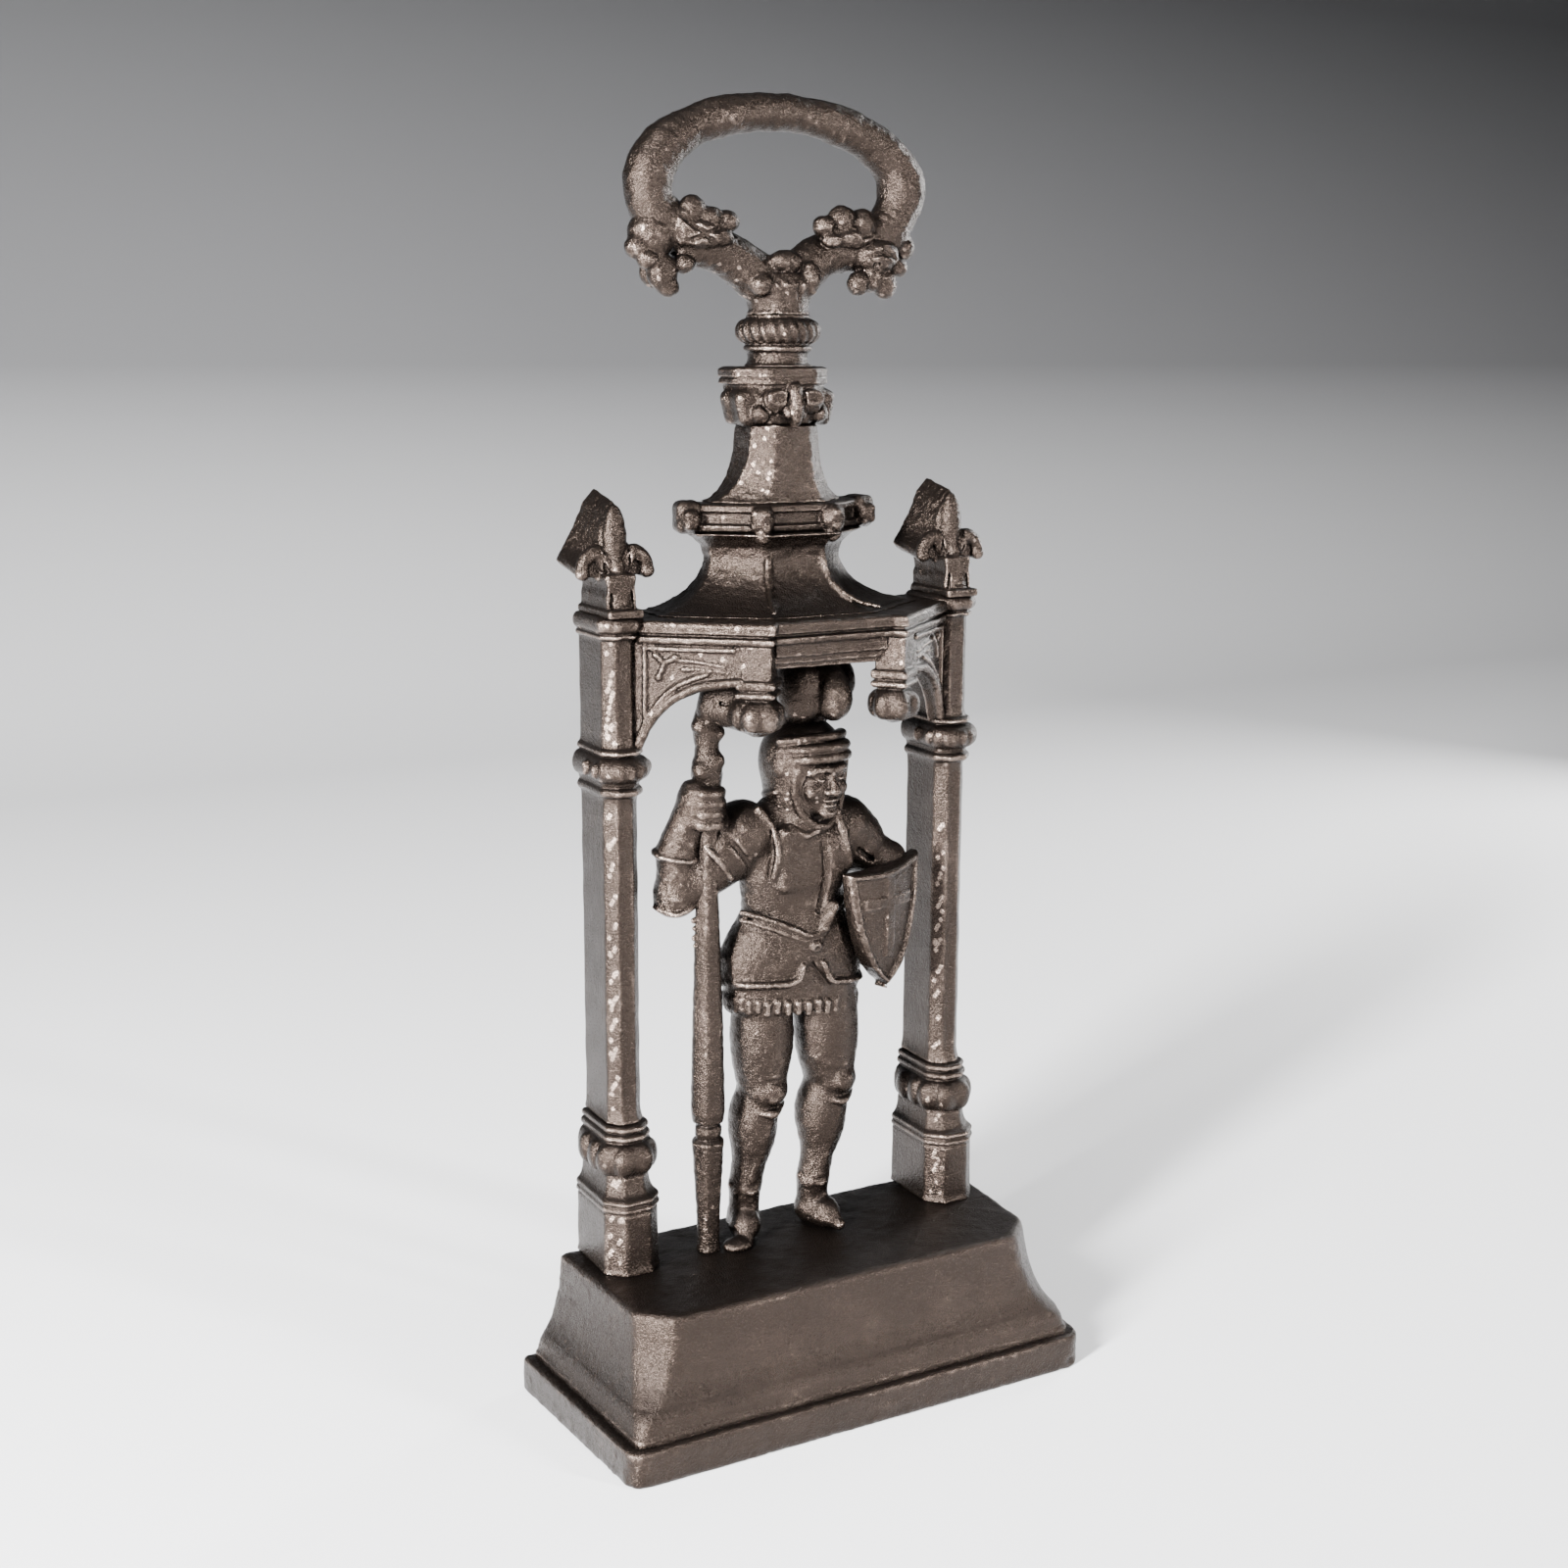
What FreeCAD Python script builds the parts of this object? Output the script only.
import FreeCAD, Part
import math
import os

# A cast-iron door stop: a moulded plinth carries a Gothic canopy on two columns,
# a knight stands under it, and a loop handle rises from the spirelet.
# Frame: millimetres, +Z up, +X to the right, -Y to the front; the origin is the
# middle of the underside.

V = FreeCAD.Vector

# Driving dimensions
BASE_WIDTH_BACK = 170.0
BASE_WIDTH_FRONT = 160.0
BASE_DEPTH = 72.4
SLAB_TOP = 11.5
PLINTH_TOP = 45.3
CAVITY_TOP = 38.0        # the base is hollow from below up to here
BACK = 32.0              # flat back plane of everything that stands on the plinth
COLUMN_X = 57.8          # axis of each column, either side of the middle
COLUMN_TOP = 246.6
ROOF_EAVES = 245.3       # top of the canopy's cornice
CORNICE_BOTTOM = 238.5
GALLERY_BOTTOM = 268.4
GALLERY_TOP = 277.2
SPIRE_TOP = 300.0
CAPITAL_TOP = 317.0
COLLAR_TOP = 332.0
HANDLE_TOP = 395.0
NECK_Y = 25.5            # axis of the capital, the collar and the handle
NECK_BACK = 33.5         # flat back of the neck
SQUARE = math.pi / 2


# ---------------------------------------------------------------- helpers
def wire_at(points, z):
    corners = [V(x, y, z) for x, y in points]
    return Part.makePolygon(corners + corners[:1])


def stack(plan, levels):
    """Solid through the plans plan(grow) at each (height, grow) level."""
    wires = [wire_at(plan(grow), z) for z, grow in levels]
    return Part.makeLoft(wires, True, True)


def bead(z0, z1, inner, outer, steps=6):
    """Levels of a half-round moulding between two heights."""
    levels = []
    for i in range(steps + 1):
        angle = math.pi * i / steps
        z = (z0 + z1) / 2 - (z1 - z0) / 2 * math.cos(angle)
        levels.append((z, inner + (outer - inner) * math.sin(angle)))
    return levels


def cove(z0, z1, start, end, steps=5):
    """Levels of a hollow quarter curve that is level at z0 and upright at z1."""
    levels = []
    for i in range(steps + 1):
        angle = SQUARE * i / steps
        z = z1 - (z1 - z0) * math.cos(angle)
        levels.append((z, start + (end - start) * math.sin(angle)))
    return levels


def fuse(shapes):
    solid = shapes[0].multiFuse(shapes[1:]) if len(shapes) > 1 else shapes[0]
    return solid.removeSplitter()


def egg(centre, radius, half_height):
    """Egg shape, round in plan."""
    tall = half_height > radius
    curve = Part.Ellipse(V(0, 0, 0), max(radius, half_height), min(radius, half_height))
    curve.Axis = V(0, -1, 0)
    curve.XAxis = V(0, 0, 1) if tall else V(1, 0, 0)
    ends = (0.0, math.pi) if tall else (-SQUARE, SQUARE)
    arc = Part.ArcOfEllipse(curve, *ends).toShape()
    chord = Part.LineSegment(V(0, 0, -half_height), V(0, 0, half_height)).toShape()
    solid = Part.Face(Part.Wire([arc, chord])).revolve(V(0, 0, 0), V(0, 0, 1), 360)
    solid.translate(V(*centre))
    return solid


def limb(start, end, radius0, radius1):
    """Tapered rod with round ends."""
    a = V(*start)
    b = V(*end)
    axis = b - a
    if abs(radius0 - radius1) < 0.01:
        rod = Part.makeCylinder(radius0, axis.Length, a, axis)
    else:
        rod = Part.makeCone(radius0, radius1, axis.Length, a, axis)
    return fuse([rod, Part.makeSphere(radius0, a), Part.makeSphere(radius1, b)])


def mirrored(shape):
    return shape.mirror(V(0, 0, 0), V(1, 0, 0))


def only_solid(shape):
    """The largest solid of a shape, so that each file holds one piece."""
    return max(shape.Solids, key=lambda solid: solid.Volume)


# ---------------------------------------------------------------- base
def trapezoid(half_front, half_back, front, back, corner=0.0):
    """Plan narrowing to the front, with its two front corners cut back."""
    slope = (half_back - half_front) / (back - front)
    side = half_front + slope * corner
    points = [(-half_back, back), (-side, front + corner), (-half_front + corner, front)]
    points += [(half_front - corner, front), (side, front + corner), (half_back, back)]
    return points if corner > 0 else [points[0], points[1], points[4], points[5]]


def base_cavity(grow, z):
    """Plan of the hollow under the base, at one height."""
    return wire_at(trapezoid(59.0 + grow, 63.0 + grow, -18.5 - grow, 25.0 + grow, 4.0), z)


def hollow():
    """Cavity that is open below and narrows upwards inside slab and plinth."""
    wires = [base_cavity(3.0, -1.0), base_cavity(0.0, CAVITY_TOP)]
    return Part.makeLoft(wires, True, True)


def base_plate():
    half_depth = BASE_DEPTH / 2
    edge = 1.0
    corner = 2.5

    def plan(grow):
        return trapezoid(BASE_WIDTH_FRONT / 2 + grow, BASE_WIDTH_BACK / 2 + grow,
                         -half_depth - grow, half_depth + grow, corner)

    slab = stack(plan, [(0, -edge), (edge, 0), (SLAB_TOP - edge, 0), (SLAB_TOP, -edge)])
    return only_solid(slab.cut(hollow()))


def plinth():
    front_half = 69.0
    back_half = 73.0
    front = -25.5
    corner = 9.0

    def plan(grow):
        cut = corner - 0.85 * max(grow, 0.0)
        return trapezoid(front_half + grow, back_half + grow, front - grow,
                         BACK + 0.25 * grow, cut)

    foot = [(SLAB_TOP, 8.5), (14.2, 8.4), (14.8, 7.2)]
    ovolo = bead(15.0, 19.4, 6.2, 7.5)
    flare = cove(19.8, 34.0, 5.8, 0.6)
    top = [(PLINTH_TOP - 1.0, 0), (PLINTH_TOP, -1.0)]
    body = stack(plan, foot + ovolo + flare + top)
    return only_solid(body.cut(hollow()))


# ---------------------------------------------------------------- columns
SHAFT = {"width": 11.0, "front": 12.0, "leg": 3.3}
SWOLLEN = {"width": 18.5, "front": 5.5, "leg": 5.0}


def column_plan(swell):
    """Half octagon with a flat back; swell 0 is the shaft, 1 is the pedestal."""
    mix = {k: SHAFT[k] + (SWOLLEN[k] - SHAFT[k]) * swell for k in SHAFT}
    half = mix["width"] / 2
    front = mix["front"]
    leg = mix["leg"]
    points = [(-half, BACK), (-half, front + leg), (-half + leg, front)]
    points += [(half - leg, front), (half, front + leg), (half, BACK)]
    return [(x - COLUMN_X, y) for x, y in points]


def pedestal():
    levels = [(PLINTH_TOP, 1.05), (47.0, 0.95), (65.0, 0.92)]
    levels += bead(65.5, 67.3, 0.92, 1.06, 4) + bead(67.6, 69.4, 0.92, 1.04, 4)
    levels += cove(69.6, 75.5, 0.92, 0.45) + bead(76.0, 86.6, 0.4, 0.98, 8)
    levels += bead(87.0, 89.4, 0.36, 0.56, 4) + bead(89.7, 92.0, 0.3, 0.48, 4)
    return stack(column_plan, levels)


def column():
    levels = [(92.0, 0.05), (96.0, 0.0), (193.0, 0.0)]
    levels += bead(193.4, 196.2, 0.1, 0.4, 4) + bead(198.0, 205.2, 0.22, 0.78, 8)
    levels += bead(205.5, 207.7, 0.1, 0.34, 4)
    levels += [(208.4, 0.0), (239.6, 0.0)] + bead(240.0, 241.4, 0.1, 0.34, 4)
    levels += bead(241.6, 246.6, 0.2, 0.52, 6)
    return stack(column_plan, levels)


def finial():
    """Fleur-de-lis, thick from front to back, on a square neck."""
    neck = Part.makeBox(9.6, 19.5, 12.0, V(-4.8, 12.5, COLUMN_TOP))
    wires = []
    for y, tip, wide, wing in ((18.5, 279.0, 12.0, 259.5), (BACK, 282.0, 12.6, 257.6)):
        outline = [(0, tip), (-3.4, tip - 3.6), (-6.6, tip - 10.5), (-wide, wing)]
        outline += [(-wide + 2.2, wing - 2.0), (-5.0, 258.4), (-3.6, 255.5)]
        outline += [(-x, z) for x, z in reversed(outline[1:])]
        corners = [V(x, y, z) for x, z in outline]
        wires.append(Part.makePolygon(corners + corners[:1]))
    wings = Part.makeLoft(wires, True, True)
    petal = egg((0, 18.5, 268.0), 4.3, 10.0)
    stem = limb((0, 16.5, 262.0), (0, 15.5, 257.0), 2.6, 2.9)
    shape = fuse([neck, wings, petal, stem])
    shape.translate(V(-COLUMN_X, 0, 0))
    return shape


# ---------------------------------------------------------------- canopy
EAVES_CORNER = (52.5, 12.0)     # where the side of the canopy meets the column
FRONT_CORNER = (22.5, -13.0)
SET_BACK = 3.0                  # of the front face between its two corner piers
OBLIQUE_LENGTH = math.hypot(EAVES_CORNER[0] - FRONT_CORNER[0], EAVES_CORNER[1] - FRONT_CORNER[1])
OBLIQUE_ANGLE = math.degrees(math.atan2(FRONT_CORNER[1] - EAVES_CORNER[1],
                                        EAVES_CORNER[0] - FRONT_CORNER[0]))
PIER = 10.0
PENDANT_BOTTOM = 212.9


def on_oblique(shape):
    """Places a shape made along +X, front face on Y=0, on the left canopy side."""
    shape.rotate(V(0, 0, 0), V(0, 0, 1), OBLIQUE_ANGLE)
    shape.translate(V(-EAVES_CORNER[0], EAVES_CORNER[1], 0))
    return shape


def pendant():
    """Square hanging pier with two fillets and a drop, set on the canopy's corner."""
    def plan(grow):
        low = OBLIQUE_LENGTH - PIER - grow
        return [(low, -grow), (OBLIQUE_LENGTH + grow, -grow),
                (OBLIQUE_LENGTH + grow, PIER + grow), (low, PIER + grow)]

    levels = [(PENDANT_BOTTOM, -3.0)] + bead(213.2, 221.8, -2.0, 1.2, 8)[1:]
    levels += bead(222.6, 225.0, -0.4, 0.8, 4) + bead(225.4, 228.6, -0.2, 0.9, 4)
    levels += [(229.0, -0.6), (CORNICE_BOTTOM, -0.6)]
    return on_oblique(stack(plan, levels))


def spandrel():
    """Side wall of the canopy with its half arch."""
    thick = 4.5
    recess = 0.8
    rise = 226.0
    spring = 205.7
    end = OBLIQUE_LENGTH - PIER + 0.6
    start = V(-3.0, recess, spring)
    middle = V(end * 0.32, recess, spring + (rise - spring) * 0.74)
    finish = V(end, recess, rise)
    arch = Part.Arc(start, middle, finish).toShape()
    top = [finish, V(end, recess, CORNICE_BOTTOM), V(-3.0, recess, CORNICE_BOTTOM), start]
    edges = [arch] + [Part.LineSegment(a, b).toShape() for a, b in zip(top, top[1:])]
    wall = Part.Face(Part.Wire(edges)).extrude(V(0, thick, 0))
    return on_oblique(wall)


def canopy(cutters):
    """Cornice, ceiling, both side walls and the front lintel."""
    def plan(grow):
        side, eaves_y = EAVES_CORNER
        corner, front = FRONT_CORNER
        points = [(-side, BACK), (-side, eaves_y - grow), (-corner, front - grow)]
        points += [(-corner + 0.83 * SET_BACK, front + SET_BACK - grow)]
        return points + [(-x, y) for x, y in reversed(points)]

    cornice = stack(plan, [(CORNICE_BOTTOM, 0.0), (239.2, 0.5), (240.2, 0.5), (240.8, 0.0),
                           (241.6, 0.0), (242.0, 0.9), (244.6, 0.9), (ROOF_EAVES, 0.4)])
    lintel_front = FRONT_CORNER[1] + SET_BACK + 1.2
    lintel = Part.makeBox(36.0, 4.6, CORNICE_BOTTOM - 231.2, V(-18.0, lintel_front, 231.2))
    side = spandrel()
    shape = fuse([cornice, lintel, side, mirrored(side)])
    for cutter in cutters:
        shape = shape.cut(cutter)
    return only_solid(shape)


def roof_plan(spread):
    """Trapezoid with two front hips; spread 0 is its waist, 1 the eaves."""
    back_half = 22.4 + 26.6 * spread
    front_half = 9.5 + 9.5 * spread
    front = 13.5 - 22.0 * spread
    side = 26.0 - 13.0 * spread
    points = [(-back_half, BACK), (-back_half, side), (-front_half, front)]
    return points + [(-x, y) for x, y in reversed(points)]


def canopy_roof():
    levels = cove(ROOF_EAVES, 261.0, 1.0, 0.0, 8)
    levels += [(GALLERY_BOTTOM - 4.5, 0.03), (GALLERY_BOTTOM - 2.0, 0.12), (GALLERY_BOTTOM, 0.26)]
    return stack(roof_plan, levels)


def gallery():
    """Ledge over the roof with a bar between bosses at its corners."""
    def plan(grow):
        points = [(-31.6 - grow, BACK), (-31.6 - grow, 27.0), (-12.0, 12.5 - grow)]
        return points + [(-x, y) for x, y in reversed(points)]

    bar = ((0.0, -1.2), (0.8, 0.0), (2.2, 0.0), (2.8, -0.9))
    levels = [(GALLERY_BOTTOM + z, grow) for z, grow in bar]
    levels += [(GALLERY_TOP - z, grow) for z, grow in reversed(bar)]
    knobs = []
    for x in (-11.9, 11.9):
        knobs.append(limb((x, 12.6, 272.2), (x, 12.4, 268.8), 4.0, 3.4))
    for x in (-29.4, 29.4):
        knobs.append(Part.makeSphere(4.6, V(x, 26.6, 273.2)))
    return only_solid(fuse([stack(plan, levels)] + knobs))


def spire_plan(spread):
    half = 11.0 + 13.5 * spread
    front_half = 5.6 + 5.4 * spread
    front = 15.6 - 2.2 * spread
    side = 20.4 + 6.1 * spread
    points = [(-half, BACK), (-half, side), (-front_half, front)]
    return points + [(-x, y) for x, y in reversed(points)]


def spirelet():
    return stack(spire_plan, cove(GALLERY_TOP, SPIRE_TOP, 1.0, 0.0, 8))


# ---------------------------------------------------------------- head and handle
def turned(profile):
    """Solid of revolution about the neck's axis from (radius, height) points."""
    points = [V(0, 0, profile[0][1])] + [V(r, 0, z) for r, z in profile] + [V(0, 0, profile[-1][1])]
    face = Part.Face(Part.makePolygon(points + points[:1]))
    solid = face.revolve(V(0, 0, 0), V(0, 0, 1), 360)
    solid.translate(V(0, NECK_Y, 0))
    return solid


def flat_back(shape):
    """Cuts off what stands out behind the neck's flat back."""
    behind = Part.makeBox(80.0, 30.0, 80.0, V(-40.0, NECK_BACK, SPIRE_TOP - 10.0))
    return only_solid(shape.cut(behind))


def capital_plan(grow):
    """Flattened half octagon with a flat back."""
    half = 16.6 + grow
    face = 8.0 + 0.4 * grow
    front = 15.0 - 0.3 * grow
    points = [(-half, NECK_BACK), (-half, front + half - face), (-face, front)]
    return points + [(-x, y) for x, y in reversed(points)]


def foliate_capital():
    """Bell of curled leaves under an abacus."""
    bell_top = CAPITAL_TOP - 5.4
    bell = stack(capital_plan, [(SPIRE_TOP, -6.0), (SPIRE_TOP + 2.0, -4.4), (SPIRE_TOP + 5.0, -2.6),
                                (bell_top, -1.0)])
    abacus = stack(capital_plan, [(bell_top, -0.6), (bell_top + 0.8, 0.0), (CAPITAL_TOP - 1.4, 0.0),
                                  (CAPITAL_TOP, -1.6)])
    leaves = []
    for x, y in ((5.0, 17.4), (12.4, 23.6)):
        leaves.append(egg((x, y, SPIRE_TOP + 5.8), 4.2, 4.4))
        leaves.append(egg((-x, y, SPIRE_TOP + 5.8), 4.2, 4.4))
    return flat_back(fuse([bell, abacus] + leaves))


def neck_collar():
    """Turned neck: a hollow, a fillet and a round moulding."""
    profile = [(10.0, CAPITAL_TOP), (9.1, 319.0), (9.3, 321.0)]
    profile += [(r, z) for z, r in bead(321.2, 323.4, 9.4, 10.3, 4)]
    profile += [(r, z) for z, r in bead(323.6, 331.0, 10.0, 12.7, 8)]
    profile += [(10.0, COLLAR_TOP)]
    return flat_back(turned(profile))


LOOP_HALF_WIDTH = 44.0
LOOP_HALF_HEIGHT = 21.5
LOOP_TUBE = 6.0
LOOP_CENTRE_Z = HANDLE_TOP - LOOP_HALF_HEIGHT - LOOP_TUBE
LOOP_END = math.radians(-38.0)


def handle_loop():
    """Round bar bent to an open oval; its ends run into the scrolls."""
    curve = Part.Ellipse(V(0, NECK_Y, LOOP_CENTRE_Z), LOOP_HALF_WIDTH, LOOP_HALF_HEIGHT)
    curve.Axis = V(0, -1, 0)
    curve.XAxis = V(1, 0, 0)
    path = Part.ArcOfEllipse(curve, LOOP_END, math.pi - LOOP_END).toShape()
    start = path.valueAt(path.FirstParameter)
    along = path.tangentAt(path.FirstParameter)
    ring = Part.Wire([Part.makeCircle(LOOP_TUBE, start, along)])
    return Part.Wire([path]).makePipeShell([ring], True, True)


def handle_stem(loop):
    """Forked stem with a cluster of scrolled leaves at each end of the fork."""
    root = flat_back(turned([(9.6, COLLAR_TOP), (9.2, 335.0), (10.8, 342.0), (9.0, 346.5)]))
    arm = limb((-5.0, NECK_Y, 343.0), (-21.0, NECK_Y, 352.0), 6.2, 5.4)
    scrolls = [limb((-19.0, NECK_Y - 1.5, 357.0), (-30.0, NECK_Y - 1.5, 356.0), 5.6, 6.4),
               limb((-34.0, NECK_Y - 1.5, 349.5), (-41.5, NECK_Y - 1.5, 345.0), 7.0, 7.2)]
    side = fuse([arm] + scrolls)
    bump = Part.makeSphere(4.0, V(-0.5, NECK_Y - 5.0, 347.5))
    shape = fuse([root, side, mirrored(side), bump]).cut(loop)
    return only_solid(shape)


# ---------------------------------------------------------------- knight
def lance():
    """Jousting lance with a stepped head, a swelling shaft and a butt."""
    profile = [(1.2, 224.5), (2.0, 224.0), (3.0, 213.5), (4.0, 211.0), (2.6, 207.5)]
    profile += [(2.4, 203.0), (3.7, 198.6), (3.0, 195.5), (3.2, 188.0), (3.4, 160.0)]
    profile += [(4.1, 144.0), (5.4, 91.5), (5.2, 88.5), (3.4, 87.4), (4.0, 84.0)]
    profile += [(5.1, 81.5), (3.6, 52.0), (3.4, PLINTH_TOP)]
    points = [V(0, 0, profile[0][1])] + [V(r, 0, z) for r, z in profile] + [V(0, 0, PLINTH_TOP)]
    face = Part.Face(Part.makePolygon(points + points[:1]))
    solid = face.revolve(V(0, 0, 0), V(0, 0, 1), 360)
    solid.translate(V(-31.0, 12.0, 0))
    return solid


def shield():
    """Convex heater shield with a flat back, held at the knight's left side."""
    half = 15.6
    top = 166.0
    tip = 126.5
    side_low = V(0, 0, tip)
    points = [V(-half, 0, top), V(0, 0, top + 1.5), V(half, 0, top)]
    left = Part.Arc(side_low, V(-half * 0.78, 0, 142.0), points[0]).toShape()
    right = Part.Arc(points[2], V(half * 0.78, 0, 142.0), side_low).toShape()
    edges = [left]
    edges += [Part.LineSegment(points[0], points[1]).toShape()]
    edges += [Part.LineSegment(points[1], points[2]).toShape(), right]
    plate = Part.Face(Part.Wire(edges)).extrude(V(0, 8.0, 0))
    bulge = Part.makeCylinder(22.0, 60.0, V(0, 20.5, 116.0))
    plate = plate.common(bulge)
    plate.rotate(V(0, 0, 0), V(0, 0, 1), 14.0)
    plate.translate(V(28.0, 0.5, 0))
    return plate


def ellipse_stack(levels):
    """Smooth body through horizontal ellipses: (x, y, z, half width, half depth)."""
    wires = []
    for x, y, z, wide, deep in levels:
        big = max(wide, deep)
        small = min(wide, deep)
        curve = Part.Ellipse(V(0, 0, 0), big, small)
        ring = Part.Wire([curve.toShape()])
        if deep > wide:
            ring.rotate(V(0, 0, 0), V(0, 0, 1), 90)
        ring.translate(V(x, y, z))
        wires.append(ring)
    return Part.makeLoft(wires, True, False)


def knight(others):
    """Armoured figure: legs, body, head in an open helmet and both arms."""
    legs = []
    for hip, knee, ankle, toe in (((-10.5, 17.0, 132.0), (-11.0, 16.0, 93.0),
                                   (-15.8, 17.5, 62.0), (-18.5, 9.5, 49.5)),
                                  ((11.5, 16.5, 130.0), (14.0, 15.0, 92.5),
                                   (7.0, 15.5, 60.0), (12.0, 5.0, 49.2))):
        heel = (ankle[0], ankle[1] + 1.0, 50.5)
        legs += [limb(hip, knee, 10.6, 7.0), limb(knee, ankle, 7.4, 4.8)]
        legs += [limb(ankle, heel, 4.8, 5.2), limb(heel, toe, 5.2, 4.0)]
    skirt = ellipse_stack([(0, 16, 121, 24.5, 10.5), (0, 16, 131, 24.8, 11.0), (0, 16, 143, 17.0, 9.5),
                           (0, 15.5, 151, 13.8, 8.6), (0, 15, 162, 16.5, 10.0),
                           (1, 15.5, 172, 20.5, 10.0), (2, 16, 180, 17.0, 8.0), (3, 15.5, 186, 7.5, 7.0)])
    head = egg((2.8, 15.0, 195.0), 13.8, 15.5)
    neck = limb((2.5, 15.5, 180.0), (4.0, 15.0, 190.0), 8.0, 8.5)
    plume = limb((3.0, 18.0, 212.0), (7.0, 13.5, 223.0), 6.5, 8.5)
    raised_arm = [limb((-17.0, 16.0, 176.5), (-38.0, 18.5, 163.0), 8.2, 7.2),
                  limb((-38.0, 18.5, 163.0), (-34.5, 13.5, 184.0), 7.4, 5.4),
                  egg((-32.5, 13.0, 189.5), 6.8, 7.2)]
    shield_arm = [limb((19.5, 16.0, 175.0), (29.0, 16.0, 160.0), 8.0, 7.0),
                  limb((29.0, 16.0, 160.0), (30.0, 11.0, 150.0), 7.0, 6.0)]
    shape = fuse([skirt, head, neck, plume] + legs + raised_arm + shield_arm)
    below = Part.makeBox(200, 200, PLINTH_TOP, V(-100, -100, 0))
    for other in [below] + others:
        shape = shape.cut(other)
    return only_solid(shape)


# ---------------------------------------------------------------- build
def build():
    parts = {"base_plate": base_plate(), "plinth": plinth()}
    pairs = {"pedestal": pedestal(), "column": column(), "finial": finial(), "pendant": pendant()}
    for name, shape in pairs.items():
        parts["left_" + name] = shape
        parts["right_" + name] = mirrored(shape)
    cutters = [parts["left_column"], parts["right_column"],
               parts["left_pendant"], parts["right_pendant"]]
    parts["canopy"] = canopy(cutters)
    parts["gallery"] = gallery()
    parts["canopy_roof"] = only_solid(canopy_roof().cut(parts["gallery"]))
    parts["spirelet"] = spirelet()
    parts["foliate_capital"] = foliate_capital()
    parts["neck_collar"] = neck_collar()
    parts["handle_loop"] = handle_loop()
    parts["handle_stem"] = handle_stem(parts["handle_loop"])
    parts["lance"] = lance()
    parts["shield"] = shield()
    parts["knight"] = knight([parts["lance"], parts["shield"], parts["canopy"]])
    return parts


def main():
    os.makedirs("parts", exist_ok=True)
    total = 0.0
    for name, shape in build().items():
        shape.exportStep("parts/" + name + ".step")
        box = shape.optimalBoundingBox()
        total += shape.Volume
        print(name, shape.isValid(), len(shape.Solids), round(shape.Volume / 1000, 1), "cm3",
              [round(v, 1) for v in (box.XMin, box.XMax, box.YMin, box.YMax, box.ZMin, box.ZMax)])
    print("total cm3", round(total / 1000, 1))


main()
